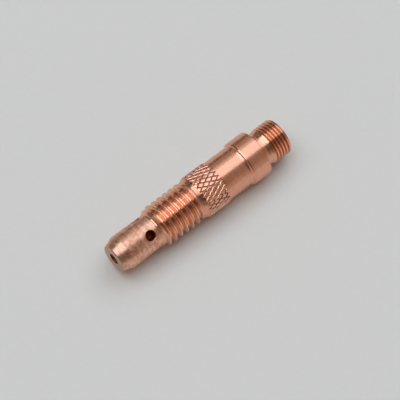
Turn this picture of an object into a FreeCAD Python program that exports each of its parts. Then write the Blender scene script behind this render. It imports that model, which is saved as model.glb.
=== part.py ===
import FreeCAD, Part
import os

import Sketcher

# A collet body for a TIG welding torch, with the split collet that slides inside it.
# Millimetres. X is the turning axis, from the nose face at X 0 to the head thread at the rear.
# The part lies on its side, so +Z is up. Both pieces are turned from round copper bar.

SIZES = {
    # collet body, distances from the nose face
    "body_length": 47.0,
    "nose_cone_end": 2.45,
    "nose_end": 10.65,
    "cup_thread_start": 11.9,
    "cup_thread_end": 21.2,
    "ring_start": 21.4,
    "ring_end": 22.05,
    "shoulder_break": 22.25,
    "knurl_start": 22.8,
    "knurl_end": 28.6,
    "barrel_start": 28.75,
    "barrel_end": 34.8,
    "collar_start": 35.88,
    "collar_end": 40.2,
    "neck_step": 41.5,
    "neck_end": 42.2,
    "head_thread_start": 42.45,
    # collet body, diameters
    "nose_rim_dia": 6.5,
    "nose_front_dia": 8.2,
    "nose_back_dia": 7.96,
    "cup_thread_dia": 9.95,
    "ring_dia": 9.42,
    "shoulder_dia": 9.9,
    "knurl_dia": 10.38,
    "barrel_dia": 9.9,
    "collar_dia": 10.85,
    "neck_dia": 7.9,
    "neck_land_dia": 8.1,
    "head_thread_dia": 8.8,
    # collet body, edges
    "rim_bevel": 0.12,
    "root_fillet_length": 0.58,
    "root_fillet_rise": 0.08,
    "collar_face_length": 0.24,
    "collar_bevel": 0.12,
    "neck_ramp": 0.2,
    "rear_bevel": 0.45,
    # collet body, inside
    "electrode_hole_dia": 2.6,
    "electrode_hole_length": 2.6,
    "seat_half_angle": 30.0,
    "collet_bore_dia": 4.9,
    "mouth_bevel": 0.4,
    # gas ports
    "port_place": 8.6,
    "port_dia": 2.35,
    "port_reach": 6.0,
    "port_edge": 0.12,
    "port_turn": 33.0,
    "port_count": 4,
    "port_spread": 360.0,
    # collet
    "collet_dia": 4.75,
    "seat_gap": 0.1,
    "tip_place": 3.3,
    "tail_proud": 0.4,
    "tail_bevel": 0.3,
    "grip_dia": 2.5,
    "grip_end": 15.3,
    "collet_inside_dia": 3.2,
    "inside_step": 0.35,
    "slot_width": 0.6,
    "slot_end": 19.3,
    "slot_overrun": 1.0,
    "slot_turn": 78.0,
    "slot_count": 2,
    "slot_spread": 90.0,
}

# Outline of the collet body: name, distance from the nose face and diameter at each corner,
# along the outside from the nose to the rear, then back along the bore.
BODY_OUTLINE = [
    ("hole_rim", "0", "Sheet.electrode_hole_dia"),
    ("face_rim", "0", "Sheet.nose_rim_dia - 2 * Sheet.rim_bevel"),
    ("nose_rim", "Sheet.rim_bevel", "Sheet.nose_rim_dia"),
    ("cone_end", "Sheet.nose_cone_end", "Sheet.nose_front_dia"),
    ("nose_end", "Sheet.nose_end", "Sheet.nose_back_dia"),
    ("cup_thread_front", "Sheet.cup_thread_start", "Sheet.cup_thread_dia"),
    ("cup_thread_back", "Sheet.cup_thread_end", "Sheet.cup_thread_dia"),
    ("ring_front", "Sheet.ring_start", "Sheet.ring_dia"),
    ("ring_back", "Sheet.ring_end", "Sheet.ring_dia"),
    ("shoulder_break", "Sheet.shoulder_break", "Sheet.shoulder_dia"),
    ("knurl_front", "Sheet.knurl_start", "Sheet.knurl_dia"),
    ("knurl_back", "Sheet.knurl_end", "Sheet.knurl_dia"),
    ("barrel_front", "Sheet.barrel_start", "Sheet.barrel_dia"),
    ("barrel_back", "Sheet.barrel_end", "Sheet.barrel_dia"),
    (
        "collar_root",
        "Sheet.barrel_end + Sheet.root_fillet_length",
        "Sheet.barrel_dia + 2 * Sheet.root_fillet_rise",
    ),
    (
        "collar_face",
        "Sheet.barrel_end + Sheet.root_fillet_length + Sheet.collar_face_length",
        "Sheet.collar_dia - 2 * Sheet.collar_bevel",
    ),
    ("collar_front", "Sheet.collar_start", "Sheet.collar_dia"),
    ("collar_back", "Sheet.collar_end - Sheet.collar_bevel", "Sheet.collar_dia"),
    ("seat_rim", "Sheet.collar_end", "Sheet.collar_dia - 2 * Sheet.collar_bevel"),
    ("neck_front", "Sheet.collar_end", "Sheet.neck_dia"),
    ("neck_step", "Sheet.neck_step", "Sheet.neck_dia"),
    ("neck_land", "Sheet.neck_step + Sheet.neck_ramp", "Sheet.neck_land_dia"),
    ("neck_back", "Sheet.neck_end", "Sheet.neck_land_dia"),
    ("head_thread_front", "Sheet.head_thread_start", "Sheet.head_thread_dia"),
    ("head_thread_back", "Sheet.body_length - Sheet.rear_bevel", "Sheet.head_thread_dia"),
    ("rear_rim", "Sheet.body_length", "Sheet.head_thread_dia - 2 * Sheet.rear_bevel"),
    ("mouth_rim", "Sheet.body_length", "Sheet.collet_bore_dia + 2 * Sheet.mouth_bevel"),
    ("mouth", "Sheet.body_length - Sheet.mouth_bevel", "Sheet.collet_bore_dia"),
    (
        "seat_back",
        "Sheet.electrode_hole_length"
        " + (Sheet.collet_bore_dia - Sheet.electrode_hole_dia) / 2 / tan(Sheet.seat_half_angle)",
        "Sheet.collet_bore_dia",
    ),
    ("seat_front", "Sheet.electrode_hole_length", "Sheet.electrode_hole_dia"),
]

# The collet's tip is a cone at the seat's angle, set back from the seat by the seat gap.
TIP_START = "Sheet.electrode_hole_length + Sheet.seat_gap"
TIP_DIA = (
    "Sheet.electrode_hole_dia"
    " + 2 * (Sheet.tip_place - Sheet.electrode_hole_length - Sheet.seat_gap) * tan(Sheet.seat_half_angle)"
)
TAIL = "Sheet.body_length + Sheet.tail_proud"

COLLET_OUTLINE = [
    ("tip_bore", "Sheet.tip_place", "Sheet.grip_dia"),
    ("tip_rim", "Sheet.tip_place", TIP_DIA),
    (
        "tip_back",
        TIP_START
        + " + (Sheet.collet_dia - Sheet.electrode_hole_dia) / 2 / tan(Sheet.seat_half_angle)",
        "Sheet.collet_dia",
    ),
    ("tail_front", TAIL + " - Sheet.tail_bevel", "Sheet.collet_dia"),
    ("tail_rim", TAIL, "Sheet.collet_dia - 2 * Sheet.tail_bevel"),
    ("tail_bore", TAIL, "Sheet.collet_inside_dia"),
    ("inside_front", "Sheet.grip_end + Sheet.inside_step", "Sheet.collet_inside_dia"),
    ("grip_back", "Sheet.grip_end", "Sheet.grip_dia"),
]


def make_sheet(doc):
    """The spreadsheet that holds every driving dimension under its own alias."""
    sheet = doc.addObject("Spreadsheet::Sheet", "Sheet")
    for row, (alias, value) in enumerate(SIZES.items(), start=1):
        sheet.set(f"A{row}", alias.replace("_", " "))
        sheet.set(f"B{row}", str(value))
        sheet.setAlias(f"B{row}", alias)
    doc.recompute()
    return sheet


def origin_feature(body, role):
    """One of the body's own origin planes or axes."""
    for feature in body.Origin.OriginFeatures:
        if feature.Role == role:
            return feature
    raise RuntimeError(f"{body.Label} has no {role}")


def flat_sketch(body, name):
    """A sketch on the body's XY plane, with the turning axis as its horizontal axis."""
    sketch = body.newObject("Sketcher::SketchObject", name)
    sketch.AttachmentSupport = [(origin_feature(body, "XY_Plane"), "")]
    sketch.MapMode = "FlatFace"
    return sketch


def bind(sketch, kind, places, name, expression):
    """A dimension named in the sketch and driven by the sheet."""
    number = sketch.addConstraint(Sketcher.Constraint(kind, *places, 1.0))
    sketch.renameConstraint(number, name)
    sketch.setExpression(f"Constraints.{name}", expression)


def draw_outline(body, name, outline):
    """A closed outline with one corner per entry. Corners start roughly placed and their sizes move them."""
    sketch = flat_sketch(body, name)
    corners = [FreeCAD.Vector(number + 1, number * number + 1, 0) for number in range(len(outline))]
    for number, corner in enumerate(corners):
        sketch.addGeometry(Part.LineSegment(corner, corners[(number + 1) % len(corners)]))
    for number in range(len(outline)):
        after = (number + 1) % len(outline)
        sketch.addConstraint(Sketcher.Constraint("Coincident", number, 2, after, 1))
    for number, (corner_name, along, diameter) in enumerate(outline):
        if along == "0":
            sketch.addConstraint(Sketcher.Constraint("PointOnObject", number, 1, -2))
        else:
            bind(sketch, "DistanceX", (-1, 1, number, 1), corner_name + "_along", along)
        bind(sketch, "DistanceY", (-1, 1, number, 1), corner_name + "_radius", f"({diameter}) / 2")
    return sketch


def turn(body, name, outline):
    """A lathe-turned solid from its outline."""
    sketch = draw_outline(body, name + "_outline", outline)
    feature = body.newObject("PartDesign::Revolution", name)
    feature.Profile = sketch
    feature.ReferenceAxis = (sketch, ["H_Axis"])
    feature.Angle = 360
    body.Document.recompute()
    return feature


def turned_sketch(body, name, turn):
    """A flat sketch turned about the part's axis by one of the sheet's angles."""
    sketch = flat_sketch(body, name)
    sketch.AttachmentOffset = FreeCAD.Placement(
        FreeCAD.Vector(0, 0, 0), FreeCAD.Rotation(FreeCAD.Vector(1, 0, 0), 1)
    )
    sketch.setExpression(".AttachmentOffset.Rotation.Angle", turn)
    return sketch


def repeat_round(body, name, feature, count, spread):
    """The feature repeated about the turning axis, with the body's tip set to the pattern."""
    pattern = body.newObject("PartDesign::PolarPattern", name)
    pattern.Originals = [feature]
    pattern.Axis = (origin_feature(body, "X_Axis"), [""])
    pattern.setExpression("Angle", spread)
    pattern.setExpression("Occurrences", count)
    body.Tip = pattern
    body.Document.recompute()
    return pattern


def must_cut(before, after, what):
    """Stops the build if a cut took nothing away."""
    if after.Shape.Volume > before.Shape.Volume - 0.1:
        raise RuntimeError(f"{what} cut nothing")


def make_collet_body(doc):
    """The turned body: nose, thread blanks, knurl blank, barrel, collar, neck, bore and gas ports."""
    body = doc.addObject("PartDesign::Body", "ColletBody")
    body.Label = "collet_body"
    turned = turn(body, "turned_body", BODY_OUTLINE)

    circle = turned_sketch(body, "port_circle", "Sheet.port_turn")
    circle.addGeometry(Part.Circle(FreeCAD.Vector(8, 0, 0), FreeCAD.Vector(0, 0, 1), 1))
    circle.addConstraint(Sketcher.Constraint("PointOnObject", 0, 3, -1))
    bind(circle, "DistanceX", (-1, 1, 0, 3), "port_place", "Sheet.port_place")
    bind(circle, "Diameter", (0,), "port_size", "Sheet.port_dia")
    port = body.newObject("PartDesign::Pocket", "gas_port")
    port.Profile = circle
    port.Type = "Length"
    port.setExpression("Length", "Sheet.port_reach")
    doc.recompute()
    must_cut(turned, port, "the first gas port")
    ports = repeat_round(body, "gas_ports", port, "Sheet.port_count", "Sheet.port_spread")
    must_cut(port, ports, "the other gas ports")

    # The drill's burr is taken off with a light edge break round each port's mouth.
    mouths = []
    for number, edge in enumerate(ports.Shape.Edges, start=1):
        box = edge.BoundBox
        outside = edge.distToShape(Part.makeLine(FreeCAD.Vector(0, 0, 0), FreeCAD.Vector(40, 0, 0)))[0]
        near_port = abs(box.Center.x - SIZES["port_place"]) < SIZES["port_dia"] / 4
        if near_port and box.XLength < SIZES["port_dia"] * 1.05 and outside > SIZES["collet_bore_dia"] / 2 + 0.5:
            mouths.append(f"Edge{number}")
    edge_break = body.newObject("PartDesign::Chamfer", "port_edge_breaks")
    edge_break.Base = (ports, mouths)
    edge_break.setExpression("Size", "Sheet.port_edge")
    body.Tip = edge_break
    doc.recompute()
    must_cut(ports, edge_break, "the port edge breaks")
    return body


def make_collet(doc):
    """The split collet: a tube with a tapered tip, slit crosswise into four sprung fingers.

    The slots stand between the gas ports, so that a finger lies behind each port.
    """
    body = doc.addObject("PartDesign::Body", "Collet")
    body.Label = "collet"
    turned = turn(body, "turned_collet", COLLET_OUTLINE)

    slot = turned_sketch(body, "slot_outline", "Sheet.slot_turn")
    corners = [
        FreeCAD.Vector(2, -1, 0),
        FreeCAD.Vector(9, -1, 0),
        FreeCAD.Vector(9, 1, 0),
        FreeCAD.Vector(2, 1, 0),
    ]
    for number, corner in enumerate(corners):
        slot.addGeometry(Part.LineSegment(corner, corners[(number + 1) % 4]))
    for number in range(4):
        slot.addConstraint(Sketcher.Constraint("Coincident", number, 2, (number + 1) % 4, 1))
    for number, direction in ((0, "Horizontal"), (2, "Horizontal"), (3, "Vertical")):
        slot.addConstraint(Sketcher.Constraint(direction, number))
    slot.addConstraint(Sketcher.Constraint("Symmetric", 1, 1, 1, 2, -1))
    bind(slot, "DistanceX", (-1, 1, 0, 1), "slot_front", "Sheet.tip_place - Sheet.slot_overrun")
    bind(slot, "DistanceX", (-1, 1, 0, 2), "slot_back", "Sheet.slot_end")
    bind(slot, "DistanceY", (1, 1, 1, 2), "slot_width", "Sheet.slot_width")
    cut = body.newObject("PartDesign::Pocket", "finger_slot")
    cut.Profile = slot
    cut.Type = "Length"
    cut.SideType = "Symmetric"
    cut.setExpression("Length", "Sheet.collet_dia * 2")
    doc.recompute()
    must_cut(turned, cut, "the first slot")
    slots = repeat_round(body, "finger_slots", cut, "Sheet.slot_count", "Sheet.slot_spread")
    must_cut(cut, slots, "the second slot")
    return body


def check(doc, pieces):
    """Stops the build on a failed object or a bad solid, before anything is written."""
    for thing in doc.Objects:
        if "Invalid" in thing.State or "Error" in thing.State:
            raise RuntimeError(f"{thing.Label} failed: {thing.State}")
    for piece in pieces:
        shape = piece.Shape
        if shape.isNull() or not shape.isValid() or len(shape.Solids) != 1:
            raise RuntimeError(f"{piece.Label} isn't one valid solid")
        print(f"{piece.Label}: {shape.Volume:.1f} mm3, {len(shape.Faces)} faces, x {shape.BoundBox.XMin:.2f}"
              f" to {shape.BoundBox.XMax:.2f}, across {shape.BoundBox.YLength:.2f}")


def main():
    """Builds the document and writes one STEP file for each piece."""
    doc = FreeCAD.newDocument("TigColletBody")
    make_sheet(doc)
    pieces = [make_collet_body(doc), make_collet(doc)]
    doc.recompute()
    check(doc, pieces)
    gap = pieces[0].Shape.distToShape(pieces[1].Shape)[0]
    print(f"least gap between the body and the collet: {gap:.3f} mm")
    os.makedirs("parts", exist_ok=True)
    for piece in pieces:
        piece.Shape.exportStep(f"parts/{piece.Label}.step")


main()
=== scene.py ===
"""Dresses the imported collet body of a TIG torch, and the split collet in it, as turned and cut copper."""

import logging
import math
from dataclasses import dataclass, field
from enum import IntEnum
from typing import Callable, NamedTuple, Sequence

import bmesh
import bpy
import numpy as np
from mathutils import Matrix, Vector


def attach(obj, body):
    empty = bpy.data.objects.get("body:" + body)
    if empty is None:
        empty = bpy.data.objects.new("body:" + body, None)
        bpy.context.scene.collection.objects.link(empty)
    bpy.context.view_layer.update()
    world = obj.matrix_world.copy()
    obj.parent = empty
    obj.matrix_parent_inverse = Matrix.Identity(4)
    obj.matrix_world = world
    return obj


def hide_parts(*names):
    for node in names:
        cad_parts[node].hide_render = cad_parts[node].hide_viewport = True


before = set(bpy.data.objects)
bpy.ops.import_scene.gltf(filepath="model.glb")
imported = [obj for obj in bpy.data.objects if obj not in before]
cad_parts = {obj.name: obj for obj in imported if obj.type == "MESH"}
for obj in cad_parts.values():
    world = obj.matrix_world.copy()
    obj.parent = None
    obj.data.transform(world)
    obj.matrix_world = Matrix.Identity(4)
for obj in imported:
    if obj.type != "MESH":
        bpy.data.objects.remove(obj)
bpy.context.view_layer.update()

LOG = logging.getLogger("collet_body")
MM = 0.001
FULL_TURN = 360.0
THREAD_FLANK = math.radians(30)
SEAT_HALF_ANGLE = math.radians(30)
OBJECT_MIDDLE = Vector((0.0235, 0.0, 0.0))
# Faces that meet at more than this are shaded with a sharp edge.
SHARP_ANGLE = math.radians(22)
# Steps in a rounded corner. A rounding takes up to this share of the shorter side. The smallest is in mm.
ARC_STEPS = 5
ROUNDING_ROOM = 0.45
SMALLEST_ROUNDING = 1e-4
# Rings of faces between a gas port's window in the skin and its mouth, and steps over the mouth's edge.
PATCH_RINGS = 5
EDGE_STEPS = 4
# Points of two seams are opposite when they are this near along them, in mm. Less than TINY is nothing.
NEAR = 0.02
TINY = 1e-6
# What the step from a seam's last point back to its first one counts as, in mm.
CLOSING_STEP = 0.3
# The sockets of a Mix node that mixes colours, and the ends of a Map Range node.
MIX_SHARE, MIX_UNDER, MIX_OVER, MIX_RESULT = 0, 6, 7, 2
MAP_ENDS = ("From Min", "From Max", "To Min", "To Max")

# The points of a turned outline in mm: place along the axis, and radius.
Path = list[tuple[float, float]]


def linear(hex_colour: str) -> tuple[float, float, float, float]:
    """Turns an sRGB hex colour into the linear colour that a shader socket takes.

    Args:
        hex_colour: A number sign and six hex digits.

    Returns:
        Linear red, green and blue, and a full alpha.
    """
    channels = [int(hex_colour[place : place + 2], 16) / 255 for place in (1, 3, 5)]
    lit = [c / 12.92 if c <= 0.04045 else ((c + 0.055) / 1.055) ** 2.4 for c in channels]
    return (lit[0], lit[1], lit[2], 1.0)


def smoothstep(value: float, low: float, high: float) -> float:
    """A soft step from 0 at low to 1 at high."""
    share = min(1.0, max(0.0, (value - low) / (high - low)))
    return share * share * (3 - 2 * share)


def soft_over(value: float, floor: float, width: float) -> float:
    """The larger of value and floor, with the corner between them rounded over width."""
    gap = value - floor
    return floor + 0.5 * (gap + math.sqrt(gap * gap + width * width))


def soft_under(value: float, ceiling: float, width: float) -> float:
    """The smaller of value and ceiling, with the corner between them rounded over width."""
    return -soft_over(-value, -ceiling, width)


def put_in_scene(name: str, data: bpy.types.ID) -> bpy.types.Object:
    """Makes an object of new data and puts it in the scene."""
    made = bpy.data.objects.new(name, data)
    bpy.context.scene.collection.objects.link(made)
    return made


def cleared_tree(owner: bpy.types.ID) -> bpy.types.NodeTree:
    """Turns on a material's or a world's nodes and empties its node tree."""
    owner.use_nodes = True
    owner.node_tree.nodes.clear()
    return owner.node_tree


def add_node(
    tree: bpy.types.NodeTree, kind: str, settings: dict | None = None, inputs: dict | None = None
) -> bpy.types.Node:
    """Adds one node with its settings and its inputs.

    Args:
        tree: The node tree that takes the node.
        kind: Blender's name for the kind of node.
        settings: The node's own properties.
        inputs: For each input a plain value, or the output socket that feeds it.

    Returns:
        The new node.
    """
    node = tree.nodes.new(kind)
    for name, value in (settings or {}).items():
        setattr(node, name, value)
    for name, value in (inputs or {}).items():
        if isinstance(value, bpy.types.NodeSocket):
            tree.links.new(value, node.inputs[name])
        else:
            node.inputs[name].default_value = value
    return node


class Surface(IntEnum):
    """The differently finished surfaces of the collet body, in the order of its material slots. The inside
    is painted shade.
    """

    NOSE = 0
    CUP_THREAD = 1
    TURNED = 2
    KNURL = 3
    HEAD_THREAD = 4
    INSIDE = 5


class Station(NamedTuple):
    """A point of a turned outline, with its distance along it and the surface that starts there."""

    reach: float
    along: float
    radius: float
    surface: Surface


class Mark(NamedTuple):
    """A point of a seam in the skin: its distance along the seam, its number, and the surface after it."""

    reach: float
    point: int
    surface: int


@dataclass(frozen=True)
class Corner:
    """A corner of a turned outline in mm: place along the axis, radius, and the radius of its rounding."""

    along: float
    radius: float
    round: float = 0.0


def divided(path: Path, longest: float) -> Path:
    """Divides the long runs of an outline.

    Args:
        path: The outline's points.
        longest: The longest run that may stay, in mm.

    Returns:
        The points, with new ones between them.
    """
    fine = [path[0]]
    for start, end in zip(path, path[1:]):
        pieces = max(1, math.ceil(math.dist(start, end) / longest))
        for piece in range(1, pieces + 1):
            share = piece / pieces
            fine.append((start[0] + (end[0] - start[0]) * share, start[1] + (end[1] - start[1]) * share))
    return fine


def rounded_path(corners: Sequence[Corner], longest: float) -> Path:
    """The outline through the corners, with each corner's rounding drawn as an arc.

    Args:
        corners: The corners in order. The first and the last stay sharp.
        longest: The longest run between two points, in mm.

    Returns:
        The outline's points.
    """
    path = [(corners[0].along, corners[0].radius)]
    for before, corner, after in zip(corners, corners[1:], corners[2:]):
        here = np.array((corner.along, corner.radius))
        back = np.array((before.along, before.radius)) - here
        ahead = np.array((after.along, after.radius)) - here
        room = ROUNDING_ROOM * min(np.linalg.norm(back), np.linalg.norm(ahead))
        back, ahead = back / np.linalg.norm(back), ahead / np.linalg.norm(ahead)
        half = math.acos(float(np.clip(back @ ahead, -1, 1))) / 2
        reach = min(corner.round / math.tan(half), room)
        if reach < SMALLEST_ROUNDING:
            path.append((corner.along, corner.radius))
            continue
        for step in range(ARC_STEPS + 1):
            share = step / ARC_STEPS
            first, middle, last = (1 - share) ** 2, 2 * share * (1 - share) * math.sin(half), share**2
            point = first * (here + back * reach) + middle * here + last * (here + ahead * reach)
            point = point / (first + middle + last)
            path.append((float(point[0]), float(point[1])))
    path.append((corners[-1].along, corners[-1].radius))
    return divided(path, longest)


def closed(ring: list[Mark], span: float) -> list[Mark]:
    """A ring of marks with its first one again at the end, span further on."""
    return ring + [ring[0]._replace(reach=ring[0].reach + span)]


def knurl_rows(seam: list[Mark]) -> tuple[int, int]:
    """The places in a seam where the knurl starts and where it has ended."""
    rows = [place for place, mark in enumerate(seam) if mark.surface is Surface.KNURL]
    return rows[0], rows[-1] + 1


@dataclass
class Skin:
    """The points and faces of one piece while it is drawn, in mm."""

    points: list[tuple[float, float, float]] = field(default_factory=list)
    faces: list[tuple[int, ...]] = field(default_factory=list)
    surfaces: list[int] = field(default_factory=list)

    def turned_point(self, along: float, radius: float, turn: float) -> int:
        """Adds a point by its place along the axis, its radius and its turn from the top, in radians."""
        self.points.append((along, -radius * math.sin(turn), radius * math.cos(turn)))
        return len(self.points) - 1

    def add_face(self, corners: tuple[int, ...], surface: int) -> None:
        """Adds a face of one surface."""
        self.faces.append(corners)
        self.surfaces.append(surface)

    def add_cut_quad(self, corners: tuple[int, int, int, int], surface: int) -> None:
        """Adds four corners as two triangles, cut along the diagonal that keeps to one radius.

        Args:
            corners: The four points in order.
            surface: Their surface.
        """
        a, b, c, d = corners
        radii = [math.hypot(*self.points[corner][1:]) for corner in corners]
        from_first = abs(radii[0] - radii[2]) <= abs(radii[1] - radii[3])
        for face in ((a, b, c), (a, c, d)) if from_first else ((a, b, d), (b, c, d)):
            self.add_face(face, surface)

    def join(
        self,
        left: Sequence[Mark],
        right: Sequence[Mark],
        near: float,
        open_spans: Sequence[tuple[float, float]] = (),
        cut: bool = False,
    ) -> None:
        """Fills the strip between two seams, whose points needn't match.

        Args:
            left: The first seam, with rising reach.
            right: The seam beside it.
            near: Points no further apart than this along their seams are opposite each other.
            open_spans: Spans of reach that stay open.
            cut: Whether faces with four corners are cut into triangles.
        """
        i = j = 0
        while i < len(left) - 1 or j < len(right) - 1:
            next_left = left[i + 1].reach if i + 1 < len(left) else math.inf
            next_right = right[j + 1].reach if j + 1 < len(right) else math.inf
            place = max(left[i].reach, right[j].reach)
            is_open = any(low - near / 2 <= place < high - near / 2 for low, high in open_spans)
            a, b, surface = left[i].point, right[j].point, left[i].surface
            if abs(next_left - next_right) < near:
                i, j = i + 1, j + 1
                face = (a, b, right[j].point, left[i].point)
            elif next_left < next_right:
                i += 1
                face = (a, b, left[i].point)
            else:
                j += 1
                face = (a, b, right[j].point)
            if is_open:
                continue
            if cut and len(face) == 4:
                self.add_cut_quad(face, surface)
            else:
                self.add_face(face, surface)

    def make(
        self, name: str, materials: Sequence[bpy.types.Material], flat: Sequence[int] = ()
    ) -> bpy.types.Object:
        """Turns the drawn skin into a closed mesh object in metres.

        Args:
            name: The object's name.
            materials: One material for each surface number.
            flat: Surfaces whose small faces are shaded flat, because they are pressed, not turned.

        Returns:
            The object, with smooth faces and sharp edges where the real ones are.
        """
        used = sorted({corner for face in self.faces for corner in face})
        number = {old: new for new, old in enumerate(used)}
        mesh = bpy.data.meshes.new(name)
        places = [tuple(value * MM for value in self.points[old]) for old in used]
        mesh.from_pydata(places, [], [tuple(number[corner] for corner in face) for face in self.faces])
        for material in materials:
            mesh.materials.append(material)
        mesh.polygons.foreach_set("material_index", self.surfaces)
        work = bmesh.new()
        work.from_mesh(mesh)
        bmesh.ops.recalc_face_normals(work, faces=work.faces)
        open_edges = sum(1 for edge in work.edges if not edge.is_manifold)
        volume = work.calc_volume() / MM**3
        LOG.info("%s: %d faces, %d open edges, %.1f mm3", name, len(work.faces), open_edges, volume)
        work.to_mesh(mesh)
        work.free()
        mesh.shade_smooth()
        mesh.set_sharp_from_angle(angle=SHARP_ANGLE)
        if flat:
            mesh.polygons.foreach_set("use_smooth", [surface not in flat for surface in self.surfaces])
        return put_in_scene(name, mesh)


@dataclass(frozen=True)
class Thread:
    """A right-handed 60 degree V thread in mm.

    The middle of a crest passes crest_at, at crest_turn degrees from the top. A rolled crest has a shallow
    seam between two raised lips, which catch the light as a double line. The rows of points lie at these
    shares of the pitch from a crest's middle, and none comes nearer to the thread's ends than clear.
    """

    pitch: float
    major_radius: float
    crest_width: float
    depth: float
    crest_round: float
    root_round: float
    crest_at: float
    crest_turn: float
    seam_depth: float = 0.0
    clear: float = 0.03
    rows: tuple[float, ...] = (
        0.0, 0.03, 0.055, 0.075, 0.105, 0.16, 0.22, 0.29, 0.35, 0.385, 0.42, 0.46, 0.5
    )

    def crest_place(self, turn: float) -> float:
        """Where a crest's middle crosses this turn, in degrees."""
        return self.crest_at + self.pitch * (turn - self.crest_turn) / FULL_TURN

    def radius(self, along: float, turn: float) -> float:
        """The radius of the cut surface.

        Args:
            along: The place along the axis.
            turn: Degrees from the top.

        Returns:
            The radius in mm.
        """
        count = (along - self.crest_place(turn)) / self.pitch
        from_crest = abs(count - round(count)) * self.pitch
        drop = (from_crest - self.crest_width / 2) / math.tan(THREAD_FLANK)
        drop = soft_over(drop, 0.0, self.crest_round)
        seam = self.seam_depth * max(0.0, 1 - (2 * from_crest / self.crest_width) ** 2)
        return self.major_radius - soft_under(drop, self.depth, self.root_round) - seam

    def places(self, start: float, end: float, turn: float) -> list[float]:
        """Places that follow the helix, so that edges run along its crests and roots.

        Args:
            start: Where the thread starts along the axis.
            end: Where it ends.
            turn: Degrees from the top.

        Returns:
            The start, the places between, and the end.
        """
        shares = [-share for share in self.rows[1:-1]] + list(self.rows)
        crest = self.crest_place(turn)
        first = math.floor((start - crest) / self.pitch) - 1
        last = math.ceil((end - crest) / self.pitch) + 1
        counts = range(first, last + 1)
        found = sorted(crest + (count + share) * self.pitch for count in counts for share in shares)
        return [start] + [place for place in found if start + self.clear < place < end - self.clear] + [end]


@dataclass(frozen=True)
class Knurl:
    """A pressed diamond knurl in mm: starts each way, and the length of a diamond along the axis.

    Each groove wanders where the other crosses it. Their depth is uneven in slow waves, each given by its
    size, its rate along the axis and its number round the part.
    """

    starts: int
    diamond_length: float
    depth: float
    groove_share: float
    lead_phase: float
    follow_phase: float
    flank_round: float = 0.05
    crown: float = 0.03
    wander: float = 0.03
    waves: tuple[tuple[float, float, int], ...] = ((0.16, 2.1, 5), (0.1, 1.3, -7))

    def drop(self, along: float, turn: float) -> float:
        """How far the surface lies under the diamonds' tops.

        Args:
            along: The place along the axis, from the knurl's start.
            turn: Degrees from the first gas port.

        Returns:
            The drop in mm.
        """
        steps, around = along / self.diamond_length, self.starts * turn / FULL_TURN
        counts = (around + steps + self.lead_phase, around - steps + self.follow_phase)
        angle = math.radians(turn)
        slow = sum(size * math.sin(along * rate + angle * number) for size, rate, number in self.waves)
        deepest, crowned = 0.0, 0.0
        for count, other in zip(counts, reversed(counts)):
            aside = self.wander * math.sin(math.tau * other)
            from_groove = abs(count + aside - round(count + aside))
            flank = soft_over(1 - from_groove / self.groove_share, 0.0, self.flank_round)
            deepest = max(deepest, self.depth * (1 + slow) * flank)
            crowned += self.crown * (1 - 2 * from_groove) ** 2
        return deepest + crowned


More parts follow.
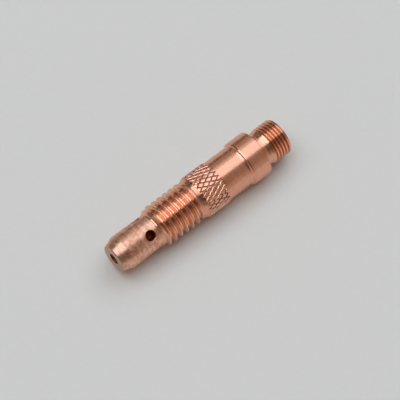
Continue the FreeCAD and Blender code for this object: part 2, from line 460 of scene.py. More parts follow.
@dataclass
class ColletBody:
    """The turned collet body, from its nose to its rear, with places along the axis and sizes in mm.

    A tuple of corners is a stretch of its outline. A pair of places is where a soft step starts and ends.
    """

    columns: int = 336
    length: float = 47.0
    hole_radius: float = 1.3
    hole_length: float = 2.6
    bore_radius: float = 2.45
    drilled_radius: float = 2.46
    nose_face: tuple[Corner, ...] = (
        Corner(0.07, 1.3),
        Corner(0.0, 1.37, 0.03),
        Corner(0.0, 3.13, 0.06),
        Corner(0.12, 3.25, 0.06),
        Corner(2.45, 4.1, 0.1),
    )
    nose_back: tuple[float, float] = (10.65, 3.98)
    cup_thread: Thread = Thread(
        pitch=1.5875, major_radius=4.975, crest_width=0.2, depth=0.9, crest_round=0.01, root_round=0.03,
        crest_at=19.65, crest_turn=21.85, seam_depth=0.03,
    )
    cup_thread_start: float = 11.9
    cup_start_round: float = 0.06
    cup_run_out: tuple[float, float] = (21.08, 21.38)
    ring_front: float = 21.4
    ring_radius: float = 4.71
    ring_groove: tuple[Corner, ...] = (
        Corner(21.7, 4.71, 0.03),
        Corner(21.8, 4.57, 0.02),
        Corner(21.92, 4.58, 0.02),
        Corner(22.06, 4.71, 0.04),
    )
    knurl: Knurl = Knurl(
        starts=28, diamond_length=2.2, depth=0.108, groove_share=0.152, lead_phase=0.07, follow_phase=0.18
    )
    knurl_start: float = 22.8
    knurl_end: float = 28.72
    knurl_foot: float = 5.048
    knurl_radius: float = 5.19
    knurl_step: float = 0.03
    knurl_rise: tuple[float, float] = (22.45, 23.25)
    knurl_fade: tuple[float, float] = (22.75, 23.1)
    knurl_fall: tuple[float, float] = (28.6, 28.72)
    knurl_diamond_rows: int = 24
    knurl_clear: float = 0.05
    barrel_radius: float = 4.95
    barrel_and_collar: tuple[Corner, ...] = (
        Corner(28.78, 4.92, 0.02),
        Corner(28.84, 4.95, 0.04),
        Corner(34.92, 4.95, 0.35),
        Corner(35.42, 5.07, 0.1),
        Corner(35.58, 5.315, 0.05),
        Corner(35.88, 5.425, 0.12),
        Corner(40.08, 5.425, 0.1),
        Corner(40.2, 5.305, 0.05),
        Corner(40.2, 3.95, 0.12),
        Corner(41.42, 3.95, 0.1),
        Corner(41.84, 4.12, 0.1),
    )
    head_thread: Thread = Thread(
        pitch=0.79375, major_radius=4.4, crest_width=0.22, depth=0.44, crest_round=0.11, root_round=0.03,
        crest_at=43.257, crest_turn=9.0,
    )
    head_thread_front: float = 42.2
    head_thread_ramp: float = 0.5
    head_thread_fade: tuple[float, float] = (42.5, 42.85)
    land_radius: float = 4.19
    rear_bevel: float = 0.45
    rear_face: tuple[Corner, ...] = (Corner(47.0, 3.93), Corner(47.0, 2.85, 0.04), Corner(46.6, 2.45, 0.1))
    cut_round: float = 0.05
    fine_cut_round: float = 0.03
    port_place: float = 8.6
    port_radius: float = 1.175
    port_edge: float = 0.12
    port_bright_depth: float = 0.7
    port_turn: float = 33.0
    port_count: int = 4
    window_half: float = 1.6
    outer_window_rows: int = 33
    inner_window_rows: int = 17
    outer_window_columns: int = 21
    inner_window_columns: int = 34

    @property
    def window(self) -> tuple[float, float]:
        """Where the windows that the gas ports are drilled in start and end along the axis."""
        return self.port_place - self.window_half, self.port_place + self.window_half

    def nose_radius(self, along: float) -> float:
        """The nose's radius between its cone and the cup thread."""
        front, (end, end_radius) = self.nose_face[-1], self.nose_back
        return front.radius + (end_radius - front.radius) * (along - front.along) / (end - front.along)

    def nose_path(self) -> Path:
        """From the electrode hole's mouth over the nose face and cone to the gas ports."""
        low = self.window[0]
        return rounded_path([*self.nose_face, Corner(low, self.nose_radius(low))], longest=0.35)

    def port_band(self) -> Path:
        """The nose round the gas ports."""
        places = np.linspace(*self.window, self.outer_window_rows)
        return [(place, self.nose_radius(place)) for place in places]

    def cup_thread_radius(self, along: float, turn: float) -> float:
        """The cup thread, from its chamfered start to where it runs out against the ring.

        Args:
            along: The place along the axis.
            turn: Degrees from the top.

        Returns:
            The radius in mm.
        """
        (start, start_radius), major = self.nose_back, self.cup_thread.major_radius
        ramp = start_radius + (major - start_radius) * ((along - start) / (self.cup_thread_start - start))
        blank = soft_under(ramp, major, self.cup_start_round)
        cut = soft_under(self.cup_thread.radius(along, turn), blank, self.cut_round)
        return cut + (self.ring_radius - cut) * smoothstep(along, *self.cup_run_out)

    def shoulder_path(self) -> Path:
        """The ring behind the cup thread and the shoulder before the knurl."""
        front, back = Corner(self.ring_front, self.ring_radius), Corner(self.knurl_start, self.knurl_foot)
        return rounded_path([front, *self.ring_groove, back], longest=0.2)

    def knurl_surface(self, along: float, turn: float) -> float:
        """The knurl, whose grooves fade into the shoulder in front and end in a fine step at the rear.

        Args:
            along: The place along the axis.
            turn: Degrees from the top.

        Returns:
            The radius in mm.
        """
        rise, fall = smoothstep(along, *self.knurl_rise), smoothstep(along, *self.knurl_fall)
        blank = self.barrel_radius + (self.knurl_radius - self.barrel_radius) * rise
        blank += (self.barrel_radius - self.knurl_step - self.knurl_radius) * fall
        strength = smoothstep(along, *self.knurl_fade) * (1 - fall)
        return blank - self.knurl.drop(along - self.knurl_start, turn - self.port_turn) * strength

    def barrel_path(self) -> Path:
        """From the knurl over the barrel, the collar and the neck to the head thread."""
        front = Corner(self.knurl_end, self.barrel_radius - self.knurl_step)
        back = Corner(self.head_thread_front, self.land_radius)
        return rounded_path([front, *self.barrel_and_collar, back], longest=0.5)

    def head_thread_radius(self, along: float, turn: float) -> float:
        """The fine head thread between its chamfered ends.

        Args:
            along: The place along the axis.
            turn: Degrees from the top.

        Returns:
            The radius in mm.
        """
        land, major = self.land_radius, self.head_thread.major_radius
        ramp = land + (major - land) * (along - self.head_thread_front) / self.head_thread_ramp
        end = major - (along - (self.length - self.rear_bevel))
        blank = soft_under(soft_under(ramp, major, self.fine_cut_round), end, self.cut_round)
        cut = soft_under(self.head_thread.radius(along, turn), blank, self.fine_cut_round)
        return blank + (cut - blank) * smoothstep(along, *self.head_thread_fade)

    def rear_path(self) -> Path:
        """The rear face, the bore's mouth and the bore as far as the gas ports."""
        return rounded_path([*self.rear_face, Corner(self.window[1], self.bore_radius)], longest=1.6)

    def inner_port_band(self) -> Path:
        """The bore round the gas ports, from the rear to the nose."""
        low, high = self.window
        return [(place, self.bore_radius) for place in np.linspace(high, low, self.inner_window_rows)]

    def seat_path(self) -> Path:
        """From the gas ports over the collet's conical seat to the electrode hole."""
        bore, hole, end = self.bore_radius, self.hole_radius, self.hole_length
        back = end + (bore - hole) / math.tan(SEAT_HALF_ANGLE)
        corners = [Corner(self.window[0], bore), Corner(back, bore, 0.1), Corner(end, hole, 0.1)]
        return rounded_path(corners, longest=0.5)

    def hole_path(self) -> Path:
        """The electrode hole, from the seat to its mouth."""
        return rounded_path([Corner(self.hole_length, self.hole_radius), self.nose_face[0]], longest=0.5)

    def stations(self, turn: float) -> list[Station]:
        """The whole closed outline at one turn, from the electrode hole's mouth round to it again.

        Args:
            turn: Degrees from the top.

        Returns:
            The outline's stations.
        """
        cup_places = self.cup_thread.places(self.nose_back[0], self.ring_front, turn)
        head_places = self.head_thread.places(self.head_thread_front, self.length, turn)
        row_length = self.knurl.diamond_length / self.knurl_diamond_rows
        rows = int((self.knurl_end - self.knurl_clear - self.knurl_start) / row_length)
        knurl_places = [self.knurl_start + row * row_length for row in range(rows + 1)] + [self.knurl_end]
        high = self.window[1]
        runs = (
            (Surface.NOSE, self.nose_path()),
            (Surface.NOSE, self.port_band()),
            (Surface.NOSE, [(high, self.nose_radius(high)), self.nose_back]),
            (Surface.CUP_THREAD, [(place, self.cup_thread_radius(place, turn)) for place in cup_places]),
            (Surface.TURNED, self.shoulder_path()),
            (Surface.KNURL, [(place, self.knurl_surface(place, turn)) for place in knurl_places]),
            (Surface.TURNED, self.barrel_path()),
            (Surface.HEAD_THREAD, [(place, self.head_thread_radius(place, turn)) for place in head_places]),
            (Surface.TURNED, self.rear_path()),
            (Surface.INSIDE, self.inner_port_band()),
            (Surface.INSIDE, self.seat_path()),
            (Surface.NOSE, self.hole_path()),
        )
        found: list[Station] = []
        reach = 0.0
        for surface, path in runs:
            for along, radius in path[:-1]:
                if found:
                    # Along the axis where that moves at all, so that it agrees from column to column.
                    step = abs(along - found[-1].along)
                    reach += step if step > TINY else abs(radius - found[-1].radius)
                # Turned faces inside the bore take the inside copper, which is painted shade.
                drilled = surface is Surface.TURNED and radius < self.drilled_radius
                found.append(Station(reach, along, radius, Surface.INSIDE if drilled else surface))
        return found

    def half_column(self, skin: Skin, found: list[Station], turn: float) -> list[Mark]:
        """Adds knurl points halfway between two columns, which keep the grooves' edges crisp.

        Args:
            skin: The skin that takes the points.
            found: The stations of the column before.
            turn: The turn of the half column in degrees.

        Returns:
            A mark for each row but the first.
        """
        marks = []
        for row in [station for station in found if station.surface is Surface.KNURL][1:]:
            radius = self.knurl_surface(row.along, turn)
            point = skin.turned_point(row.along, radius, math.radians(turn))
            marks.append(Mark(row.reach, point, row.surface))
        return marks

    def window_rim(
        self, seams: list[list[Mark]], middle: int, half: int, span: tuple[float, float]
    ) -> list[int]:
        """The points round an open window in the skin, for a gas port to be drilled in.

        Args:
            seams: Every column's marks.
            middle: The column in the middle of the window.
            half: The number of columns from the middle to the window's side.
            span: The window's start and end along the seams.

        Returns:
            The rim's points in no order.
        """
        rim: set[int] = set()
        for offset in range(-half, half + 1):
            seam = seams[(middle + offset) % self.columns]
            points = [mark.point for mark in seam if span[0] - TINY <= mark.reach <= span[1] + TINY]
            rim.update(points if abs(offset) == half else (points[0], points[-1]))
        return list(rim)

    def patch(
        self,
        skin: Skin,
        rim: list[int],
        turn: float,
        radius: Callable[[float], float],
        edge: float,
        surface: Surface,
    ) -> list[Mark]:
        """Closes a window down to the round mouth of a gas port.

        Args:
            skin: The skin with the open window.
            rim: The points round the window.
            turn: The port's turn from the top in radians.
            radius: The surface's radius at a place along the axis.
            edge: The rounding of the port's mouth. The wall just under a rounded one is bright too, above
                the inside's painted shade.
            surface: The surface that the window is in.

        Returns:
            The last ring, which the port's wall starts from.
        """
        out = Vector((0, -math.sin(turn), math.cos(turn)))
        side = Vector((0, -math.cos(turn), -math.sin(turn)))
        polar = []
        for point in rim:
            place = Vector(skin.points[point])
            along, across = place.x - self.port_place, place.dot(side)
            polar.append((math.atan2(across, along), math.hypot(across, along), point))
        polar.sort()
        mouth = self.port_radius + edge
        # Each ring's share of the way from the mouth to the rim, its bend over the edge, and its depth.
        rings = [(1 - step / PATCH_RINGS, 0.0, 0.0) for step in range(1, PATCH_RINGS + 1)]
        if edge:
            rings += [(0.0, step * math.pi / 2 / EDGE_STEPS, 0.0) for step in range(1, EDGE_STEPS + 1)]
            rings.append((0.0, math.pi / 2, self.port_bright_depth))
        ring = [Mark(angle, point, surface) for angle, _, point in polar]
        for share, bend, depth in rings:
            after = []
            for angle, far, _ in polar:
                distance = mouth + (far - mouth) * share - edge * math.sin(bend)
                drop = edge * (1 - math.cos(bend)) + depth
                along, across = distance * math.cos(angle), distance * math.sin(angle)
                height = math.sqrt(radius(self.port_place + along) ** 2 - across**2) - drop
                place = out * height + side * across
                skin.points.append((self.port_place + along, place.y, place.z))
                after.append(Mark(angle, len(skin.points) - 1, surface))
            skin.join(closed(ring, math.tau), closed(after, math.tau), TINY)
            ring = after
        return ring

    def join_columns(
        self,
        skin: Skin,
        seams: Sequence[list[Mark]],
        middle: list[Mark],
        open_spans: Sequence[tuple[float, float]],
    ) -> None:
        """Fills the skin between two columns, all the way round the outline.

        Args:
            skin: The skin that takes the faces.
            seams: The two columns' marks.
            middle: The marks of the knurl's half column between them.
            open_spans: The windows that stay open here.
        """
        left, right = (closed(seam, seam[-1].reach + CLOSING_STEP) for seam in seams)
        (first, last), (right_first, right_last) = knurl_rows(left), knurl_rows(right)
        skin.join(left[: first + 1], right[: right_first + 1], NEAR, open_spans)
        skin.join(left[last:], right[right_last:], NEAR, open_spans)
        skin.join(left[first : last + 1], middle, NEAR, cut=True)
        skin.join(middle, right[right_first : right_last + 1], NEAR, cut=True)
        skin.add_face((left[first].point, middle[0].point, right[right_first].point), Surface.KNURL)
        skin.add_face((left[last].point, middle[-1].point, right[right_last].point), Surface.KNURL)

    def build(self, materials: Sequence[bpy.types.Material]) -> bpy.types.Object:
        """Draws the whole body and hands it to the frame in place of the CAD node.

        Args:
            materials: One for each Surface.

        Returns:
            The finished piece.
        """
        skin = Skin()
        seams: list[list[Mark]] = []
        between: list[list[Mark]] = []
        step = FULL_TURN / self.columns
        for column in range(self.columns):
            turn = self.port_turn + column * step
            found = self.stations(turn)
            points = [skin.turned_point(s.along, s.radius, math.radians(turn)) for s in found]
            seams.append([Mark(s.reach, point, s.surface) for s, point in zip(found, points)])
            between.append(self.half_column(skin, found, turn + step / 2))
        low, high = self.window
        outline, bore = self.stations(self.port_turn), self.bore_radius + TINY
        outer = max(s.reach for s in outline if s.surface is Surface.NOSE and abs(s.along - low) < TINY)
        inner = max(s.reach for s in outline if s.radius < bore and abs(s.along - high) < TINY)
        outer_span, inner_span = (outer, outer + high - low), (inner, inner + high - low)
        windows = ((outer_span, self.outer_window_columns), (inner_span, self.inner_window_columns))
        spacing = self.columns // self.port_count
        for column in range(self.columns):
            from_port = (column + 0.5) % spacing
            offset = min(from_port, spacing - from_port)
            open_spans = [span for span, half in windows if offset < half]
            pair = (seams[column], seams[(column + 1) % self.columns])
            self.join_columns(skin, pair, between[column], open_spans)
        for port in range(self.port_count):
            middle = port * spacing
            turn = math.radians(self.port_turn + middle * step)
            rim = self.window_rim(seams, middle, self.outer_window_columns, outer_span)
            mouth = self.patch(skin, rim, turn, self.nose_radius, self.port_edge, Surface.NOSE)
            rim = self.window_rim(seams, middle, self.inner_window_columns, inner_span)
            floor = self.patch(skin, rim, turn, lambda along: self.bore_radius, 0.0, Surface.INSIDE)
            # The port's wall under its bright edge takes the inside copper, which is painted shade.
            wall = [mark._replace(surface=Surface.INSIDE) for mark in mouth]
            skin.join(closed(wall, math.tau), closed(floor, math.tau), TINY)
        piece = skin.make("collet_body_turned", materials, (Surface.KNURL,))
        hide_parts("collet_body")
        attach(piece, "collet_body")
        return piece


@dataclass
class Collet:
    """The split collet: a copper sleeve whose tapered tip is sawn into four fingers.

    Its outline runs from the tip to the slots' end, over the tail to their end inside, and back to the tip.
    """

    outside: tuple[Corner, ...] = (Corner(3.3, 1.646), Corner(4.562, 2.375, 0.4), Corner(19.3, 2.375))
    back: tuple[Corner, ...] = (
        Corner(19.3, 2.375),
        Corner(47.1, 2.375, 0.1),
        Corner(47.4, 2.075, 0.05),
        Corner(47.4, 1.6, 0.05),
        Corner(19.3, 1.6),
    )
    inside: tuple[Corner, ...] = (
        Corner(19.3, 1.6),
        Corner(15.65, 1.6, 0.05),
        Corner(15.3, 1.25, 0.05),
        Corner(3.3, 1.25),
    )
    finger_run: float = 0.8
    back_run: float = 1.2
    slot_width: float = 0.6
    slot_turn: float = 78.0
    fingers: int = 4
    finger_columns: int = 24
    gap_columns: int = 4

    def turn_at(self, finger: int, share: float, radius: float) -> float:
        """The turn in radians of a point on a finger, from share 0 at one slot to 1 at the next."""
        spacing = math.tau / self.fingers
        edge = math.asin(self.slot_width / 2 / radius)
        return math.radians(self.slot_turn) + finger * spacing + edge + share * (spacing - 2 * edge)

    def build(self, material: bpy.types.Material) -> bpy.types.Object:
        """Draws the collet and hands it to the frame in place of the CAD node.

        Args:
            material: The collet's copper.

        Returns:
            The finished piece.
        """
        skin = Skin()
        outside = rounded_path(self.outside, self.finger_run)
        back = rounded_path(self.back, self.back_run)
        loop = outside[:-1] + back[:-1] + rounded_path(self.inside, self.finger_run)
        first_back, last_back = len(outside) - 1, len(outside) + len(back) - 2
        seams: list[list[list[int]]] = []
        for finger in range(self.fingers):
            columns = []
            for column in range(self.finger_columns + 1):
                share = column / self.finger_columns
                columns.append([skin.turned_point(x, r, self.turn_at(finger, share, r)) for x, r in loop])
            seams.append(columns)
        for finger in range(self.fingers):
            for left, right in zip(seams[finger], seams[finger][1:]):
                for k in range(len(loop)):
                    after = (k + 1) % len(loop)
                    skin.add_face((left[k], right[k], right[after], left[after]), 0)
            gap = [seams[finger][-1][first_back : last_back + 1]]
            for column in range(1, self.gap_columns):
                share = column / self.gap_columns
                points = []
                for x, r in loop[first_back : last_back + 1]:
                    start = self.turn_at(finger, 1.0, r)
                    end = self.turn_at(finger + 1, 0.0, r)
                    points.append(skin.turned_point(x, r, start + (end - start) * share))
                gap.append(points)
            gap.append(seams[(finger + 1) % self.fingers][0][first_back : last_back + 1])
            for left, right in zip(gap, gap[1:]):
                for k in range(len(left) - 1):
                    skin.add_face((left[k], right[k], right[k + 1], left[k + 1]), 0)
                skin.add_face((left[0], left[-1], right[-1], right[0]), 0)
            for side in (seams[finger][0], seams[finger][-1]):
                marks = [Mark(x, point, 0) for (x, _), point in zip(loop, side)]
                skin.join(marks[: first_back + 1], marks[: last_back - 1 : -1], TINY)
        piece = skin.make("collet_split", [material])
        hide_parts("collet")
        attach(piece, "collet")
        return piece


class Tint(NamedTuple):
    """A colour laid over a finish, as far as a value has gone from one end of its span to the other."""

    value: bpy.types.NodeSocket
    span: tuple[float, float]
    shares: tuple[float, float]
    colour: str
    step: str = "LINEAR"


@dataclass(frozen=True)
class CopperFinish:
    """A finish on bright copper. Sizes are in mm, and depth is the height of the tool's marks.

    A lathe leaves marks about 0.1 mm apart. They are drawn 0.3 to 0.5 mm apart, the finest that shows. The
    groove shade is painted shade, darkest at the grooves' root. The heat-and-shade colour darkens the end
    nearest the arc: heat tint, and painted shade.
    """

    name: str
    colour: str
    worn: str
    shade: str
    roughness: float
    roughness_spread: float = 0.05
    mark_pitch: float = 0.35
    mark_round: float = 5.0
    mark_depth: float = 0.001
    mark_contrast: float = 0.5
    blotch_size: float = 1.2
    blotch_contrast: float = 0.3
    anisotropy: float = 0.0
    groove_shade: str | None = None
    groove_root: float = 0.0
    groove_top: float = 1.0
    heat_and_shade: str | None = None
    heat_and_shade_end: float = 0.0
    heat_and_shade_fade: float = 1.0

    def build(self) -> bpy.types.Material:
        """Makes the material, with every pattern placed by the part's own coordinates.

        Returns:
            The material.
        """
        material = bpy.data.materials.new(self.name)
        tree = cleared_tree(material)
        place = add_node(tree, "ShaderNodeTexCoord").outputs["Object"]
        lines_scale = (1 / (self.mark_pitch * MM), 1 / (self.mark_round * MM), 1 / (self.mark_round * MM))
        stretched = add_node(tree, "ShaderNodeMapping", inputs={"Vector": place, "Scale": lines_scale})
        lines = {"Vector": stretched.outputs["Vector"], "Scale": 1.0, "Detail": 2.0, "Roughness": 0.55}
        marks = add_node(tree, "ShaderNodeTexNoise", inputs=lines).outputs["Fac"]
        clouds = {"Vector": place, "Scale": 1 / (self.blotch_size * MM), "Detail": 3.0, "Roughness": 0.6}
        blotches = add_node(tree, "ShaderNodeTexNoise", inputs=clouds).outputs["Fac"]
        tints = [
            Tint(marks, (0.35, 0.68), (0.0, self.mark_contrast), self.worn),
            Tint(blotches, (0.42, 0.66), (0.0, self.blotch_contrast), self.shade),
        ]
        # Painted shade: the grooves darken from their root up to their top.
        if self.groove_shade:
            across = {0: place, 1: (0.0, 1.0, 1.0)}
            away = add_node(tree, "ShaderNodeVectorMath", {"operation": "MULTIPLY"}, across)
            vector = {0: away.outputs["Vector"]}
            radius = add_node(tree, "ShaderNodeVectorMath", {"operation": "LENGTH"}, vector)
            span = (self.groove_root * MM, self.groove_top * MM)
            tints.append(Tint(radius.outputs["Value"], span, (1.0, 0.0), self.groove_shade, "SMOOTHSTEP"))
        # Heat tint and painted shade, darkest at the end nearest the arc.
        if self.heat_and_shade:
            along = add_node(tree, "ShaderNodeSeparateXYZ", inputs={"Vector": place}).outputs["X"]
            span = (self.heat_and_shade_end * MM, (self.heat_and_shade_end + self.heat_and_shade_fade) * MM)
            tints.append(Tint(along, span, (1.0, 0.0), self.heat_and_shade, "SMOOTHSTEP"))
        colour = linear(self.colour)
        for tint in tints:
            fade = dict(zip(MAP_ENDS, tint.span + tint.shares), Value=tint.value)
            share = add_node(tree, "ShaderNodeMapRange", {"interpolation_type": tint.step}, fade)
            layers = {MIX_SHARE: share.outputs["Result"], MIX_UNDER: colour, MIX_OVER: linear(tint.colour)}
            colour = add_node(tree, "ShaderNodeMix", {"data_type": "RGBA"}, layers).outputs[MIX_RESULT]
        low, high = self.roughness - self.roughness_spread, self.roughness + self.roughness_spread
        fade = dict(zip(MAP_ENDS, (0.3, 0.7, low, high)), Value=marks)
        rough = add_node(tree, "ShaderNodeMapRange", inputs=fade).outputs["Result"]
        relief = {"Height": marks, "Strength": 1.0, "Distance": self.mark_depth * MM}
        look = {
            "Base Color": colour,
            "Metallic": 1.0,
            "Roughness": rough,
            "Normal": add_node(tree, "ShaderNodeBump", inputs=relief).outputs["Normal"],
            "Anisotropic": self.anisotropy,
        }
        if self.anisotropy:
            round_axis = {"direction_type": "RADIAL", "axis": "X"}
            look["Tangent"] = add_node(tree, "ShaderNodeTangent", round_axis).outputs["Tangent"]
            look["Anisotropic Rotation"] = 0.25
        shader = add_node(tree, "ShaderNodeBsdfPrincipled", inputs=look)
        add_node(tree, "ShaderNodeOutputMaterial", inputs={"Surface": shader.outputs["BSDF"]})
        return material


# Turned copper left bright from the lathe: fine rings cross its length, and highlights spread along it.
TURNED_COPPER = CopperFinish(
    "satin_turned_copper", "#EEA88A", "#F4BB9F", "#DC9575", 0.25,
    mark_depth=0.0012, blotch_size=2.6, anisotropy=0.4,
)
# The nose has been handled and warmed, so brown blotches dull it. Its face, nearest the arc, is painted
# duller:
# # heat tint, and painted shade that stands in for the darker reflection it shows.
NOSE_COPPER = CopperFinish(
    "handled_nose_copper", "#ECA88A", "#FBD5BF", "#B9714E", 0.34,
    roughness_spread=0.08, mark_round=1.6, mark_depth=0.006, mark_contrast=0.8, blotch_size=1.1,
    blotch_contrast=0.6, heat_and_shade="#C49D88", heat_and_shade_end=0.05, heat_and_shade_fade=0.1,
)
# Rolled thread: smooth flanks that light one another to orange, so the copper itself is pale here.
CUP_THREAD_COPPER = CopperFinish(
    "rolled_thread_copper", "#EDB090", "#F6C4A9", "#D89778", 0.15,
    roughness_spread=0.04, blotch_contrast=0.35,
)
# Fine thread: bright crests over roots painted a deeper red as shade.
HEAD_THREAD_COPPER = CopperFinish(
    "fine_thread_copper", "#F0B08E", "#F8C3A6", "#DE9A78", 0.16,
    roughness_spread=0.04, mark_pitch=0.3, mark_contrast=0.4,
    groove_shade="#D0835B", groove_root=4.03, groove_top=4.32,
)
# Pressed knurl: burnished diamond tops over grooves painted a dull red as shade.
KNURL_COPPER = CopperFinish(
    "pressed_knurl_copper", "#F0AE90", "#FBD6C2", "#D28664", 0.17,
    mark_pitch=0.5, mark_round=2.0, mark_depth=0.002, mark_contrast=0.6, blotch_size=0.5,
    blotch_contrast=0.5, groove_shade="#C47550", groove_root=5.06, groove_top=5.12,
)
# Drilled surfaces inside stay dull. Their colour is painted darker and redder, as shade where they light
# one another.
INSIDE_COPPER = CopperFinish(
    "drilled_bore_copper_painted_shade", "#C06A46", "#CF8260", "#9C4E32", 0.4,
    roughness_spread=0.06, mark_pitch=0.4, mark_round=4.0, mark_depth=0.003, blotch_size=1.5,
    blotch_contrast=0.4,
)
# The collet is drawn tube, smoother than the turned body. Its tip is painted dark brown: heat tint from the
# arc,
# # and painted shade where it shows through the gas ports.
COLLET_COPPER = CopperFinish(
    "drawn_collet_copper", "#EDA280", "#F3B494", "#D58C6C", 0.3,
    mark_pitch=0.5, mark_depth=0.0015, mark_contrast=0.4, blotch_size=2.5, anisotropy=0.3,
    heat_and_shade="#5A2415", heat_and_shade_end=12.0, heat_and_shade_fade=9.0,
)
BODY_FINISHES = {
    Surface.NOSE: NOSE_COPPER,
    Surface.CUP_THREAD: CUP_THREAD_COPPER,
    Surface.TURNED: TURNED_COPPER,
    Surface.KNURL: KNURL_COPPER,
    Surface.HEAD_THREAD: HEAD_THREAD_COPPER,
    Surface.INSIDE: INSIDE_COPPER,
}


@dataclass(frozen=True)
class Softbox:
    """A flat lamp that looks at the object. Sizes in metres, radiance 1 renders as white in a mirror."""

    name: str
    toward: tuple[float, float, float]
    width: float
    height: float
    radiance: float
    colour: str
    distance: float = 2.0

    def place(self) -> None:
        """Sets the lamp up, unseen by the camera itself."""
        lamp = bpy.data.lights.new(self.name, "AREA")
        lamp.shape = "RECTANGLE"
        lamp.size, lamp.size_y = self.width, self.height
        lamp.energy = self.radiance * math.pi * self.width * self.height
        lamp.color = linear(self.colour)[:3]
        holder = put_in_scene(self.name, lamp)
        toward = Vector(self.toward).normalized()
        holder.location = OBJECT_MIDDLE + toward * self.distance
        # The lamp's width lies along the part, or across it where the lamp looks along it.
        side = Vector((1, 0, 0)) if abs(toward.x) < 0.8 else Vector((0, 1, 0))
        up = toward.cross(side).normalized()
        side = up.cross(toward).normalized()
        holder.rotation_mode = "QUATERNION"
        holder.rotation_quaternion = Matrix((side, up, toward)).transposed().to_quaternion()
        holder.visible_camera = False


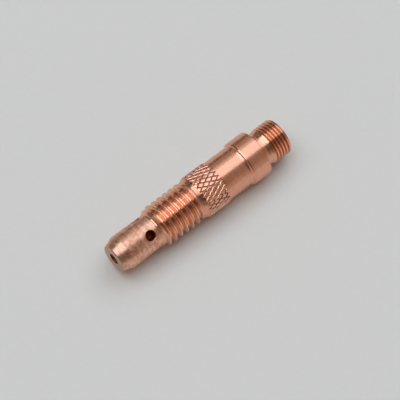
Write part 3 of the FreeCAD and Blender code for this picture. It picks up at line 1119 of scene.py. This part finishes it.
@dataclass
class Studio:
    """A pale paper floor, soft lamps and the camera at the photograph's angle.

    The floor's height and the camera's place are in mm, the floor's other sizes in metres. The room's light
    and its pale horizon fade over these spans of a ray's upward slope.
    """

    floor_height: float = -5.425
    floor_rings: tuple[float, ...] = (0.05, 0.15, 0.4, 1.0, 2.0, 3.0)
    floor_reach: float = 4.0
    floor_spokes: int = 96
    cove_height: float = 0.9
    cove_steps: int = 12
    wall_height: float = 1.75
    floor_colour: str = "#F4EEE6"
    fibre_colour: str = "#F0EAE2"
    room_colour: str = "#FFF1E2"
    room_span: tuple[float, float] = (0.16, 0.36)
    room_glow: tuple[float, float] = (0.3, 0.1)
    horizon_colour: str = "#C8CAC9"
    horizon_span: tuple[float, float] = (0.2, 0.4)
    camera_place: tuple[float, float, float] = (-160.517, -217.048, 529.575)
    azimuth: float = -40.406
    elevation: float = 61.824
    lens: float = 249.79
    lamps: tuple[Softbox, ...] = (
        Softbox("top_softbox", (0.457, 0.062, 0.887), 1.58, 1.62, 1.5, "#E4F2FF"),
        Softbox("top_softbox_rim", (0.457, 0.497, 0.737), 1.58, 0.6, 0.75, "#E4F2FF"),
        Softbox("left_softbox", (-0.262, 0.151, 0.953), 1.3, 2.04, 2.3, "#E4F2FF"),
        Softbox("left_low_card", (-0.82, 0.22, 0.49), 1.4, 0.9, 0.35, "#FFE6D2"),
        Softbox("back_softbox", (0.3, 0.77, 0.56), 1.8, 0.9, 0.3, "#FFF4E6"),
        Softbox("fill_card", (0.3, -0.675, 0.675), 1.2, 1.87, 0.22, "#FFE6D2"),
        Softbox("front_strip", (0.3, -0.943, 0.138), 2.0, 0.5, 0.25, "#FFF4E6"),
    )

    def floor_material(self) -> bpy.types.Material:
        """Matt background paper: an even pale grey with a faint fibre, so that it carries a soft shadow.

        Returns:
            The paper's material.
        """
        material = bpy.data.materials.new("matt_background_paper")
        tree = cleared_tree(material)
        place = add_node(tree, "ShaderNodeTexCoord").outputs["Object"]
        grain = {"Vector": place, "Scale": 900.0, "Detail": 3.0}
        fibre = add_node(tree, "ShaderNodeTexNoise", inputs=grain).outputs["Fac"]
        paper, fibres = linear(self.floor_colour), linear(self.fibre_colour)
        layers = {MIX_SHARE: fibre, MIX_UNDER: paper, MIX_OVER: fibres}
        colour = add_node(tree, "ShaderNodeMix", {"data_type": "RGBA"}, layers).outputs[MIX_RESULT]
        look = {"Base Color": colour, "Roughness": 0.9, "Specular IOR Level": 0.2}
        shader = add_node(tree, "ShaderNodeBsdfPrincipled", inputs=look)
        add_node(tree, "ShaderNodeOutputMaterial", inputs={"Surface": shader.outputs["BSDF"]})
        return material

    def build_floor(self) -> None:
        """A round floor whose far rim curves up into a backdrop."""
        profile = [(reach, 0.0) for reach in self.floor_rings]
        bend = self.cove_height
        for step in range(1, self.cove_steps + 1):
            angle = step / self.cove_steps * math.pi / 2
            profile.append((self.floor_reach - bend + bend * math.sin(angle), bend * (1 - math.cos(angle))))
        profile.append((self.floor_reach, self.wall_height))
        work = bmesh.new()
        middle = work.verts.new((0, 0, 0))
        turns = [math.tau * spoke / self.floor_spokes for spoke in range(self.floor_spokes)]
        rings = []
        for reach, height in profile:
            places = [(reach * math.cos(turn), reach * math.sin(turn), height) for turn in turns]
            rings.append([work.verts.new(place) for place in places])
        for spoke in range(self.floor_spokes):
            after = (spoke + 1) % self.floor_spokes
            work.faces.new((middle, rings[0][spoke], rings[0][after]))
            for inner, outer in zip(rings, rings[1:]):
                work.faces.new((inner[spoke], outer[spoke], outer[after], inner[after]))
        mesh = bpy.data.meshes.new("studio_floor")
        work.to_mesh(mesh)
        work.free()
        mesh.shade_smooth()
        mesh.materials.append(self.floor_material())
        floor = put_in_scene("studio_floor", mesh)
        floor.location = (OBJECT_MIDDLE.x, 0, self.floor_height * MM)

    def build_world(self) -> None:
        """Dim light from the room, where the camera and mirrors see a horizon as pale as the floor."""
        world = bpy.data.worlds.new("studio_room")
        tree = cleared_tree(world)
        place = add_node(tree, "ShaderNodeTexCoord").outputs["Generated"]
        height = add_node(tree, "ShaderNodeSeparateXYZ", inputs={"Vector": place}).outputs["Z"]
        fades = []
        for span, ends, step in (
            (self.room_span, self.room_glow, "SMOOTHSTEP"),
            (self.horizon_span, (1.0, 0.0), "LINEAR"),
        ):
            fade = dict(zip(MAP_ENDS, span + ends), Value=height)
            node = add_node(tree, "ShaderNodeMapRange", {"interpolation_type": step}, fade)
            fades.append(node.outputs["Result"])
        rays = add_node(tree, "ShaderNodeLightPath").outputs
        seen = rays["Is Camera Ray"]
        for kind in ("Is Glossy Ray", "Is Transmission Ray"):
            either = {0: seen, 1: rays[kind]}
            seen = add_node(tree, "ShaderNodeMath", {"operation": "MAXIMUM"}, either).outputs[0]
        both = {0: fades[1], 1: seen}
        backgrounds = {0: add_node(tree, "ShaderNodeMath", {"operation": "MULTIPLY"}, both).outputs[0]}
        for slot, colour, strength in ((1, self.room_colour, fades[0]), (2, self.horizon_colour, 1.0)):
            light = {"Color": linear(colour), "Strength": strength}
            backgrounds[slot] = add_node(tree, "ShaderNodeBackground", inputs=light).outputs["Background"]
        mixed = add_node(tree, "ShaderNodeMixShader", inputs=backgrounds)
        add_node(tree, "ShaderNodeOutputWorld", inputs={"Surface": mixed.outputs["Shader"]})
        bpy.context.scene.world = world

    def build_camera(self) -> None:
        """The camera, level and looking down at the part as the photograph does."""
        data = bpy.data.cameras.new("photo_camera")
        data.lens = self.lens
        data.sensor_width = 36.0
        data.clip_start, data.clip_end = 0.01, 50.0
        camera = put_in_scene("photo_camera", data)
        azimuth, elevation = math.radians(self.azimuth), math.radians(self.elevation)
        level = math.cos(elevation)
        back = Vector((math.sin(azimuth) * level, -math.cos(azimuth) * level, math.sin(elevation)))
        camera.location = Vector(self.camera_place) * MM
        camera.rotation_mode = "QUATERNION"
        camera.rotation_quaternion = (-back).to_track_quat("-Z", "Y")
        bpy.context.scene.camera = camera

    def build(self) -> None:
        """Sets up the whole studio."""
        self.build_camera()
        self.build_floor()
        self.build_world()
        for lamp in self.lamps:
            lamp.place()
        bpy.context.scene.view_settings.view_transform = "Standard"


def main() -> None:
    """Builds the studio and both pieces."""
    logging.basicConfig(level=logging.INFO, format="%(name)s: %(message)s")
    Studio().build()
    body = ColletBody().build([BODY_FINISHES[surface].build() for surface in Surface])
    LOG.info("built %s", body.name)
    collet = Collet().build(COLLET_COPPER.build())
    LOG.info("built %s", collet.name)


if __name__ == "__main__":
    main()
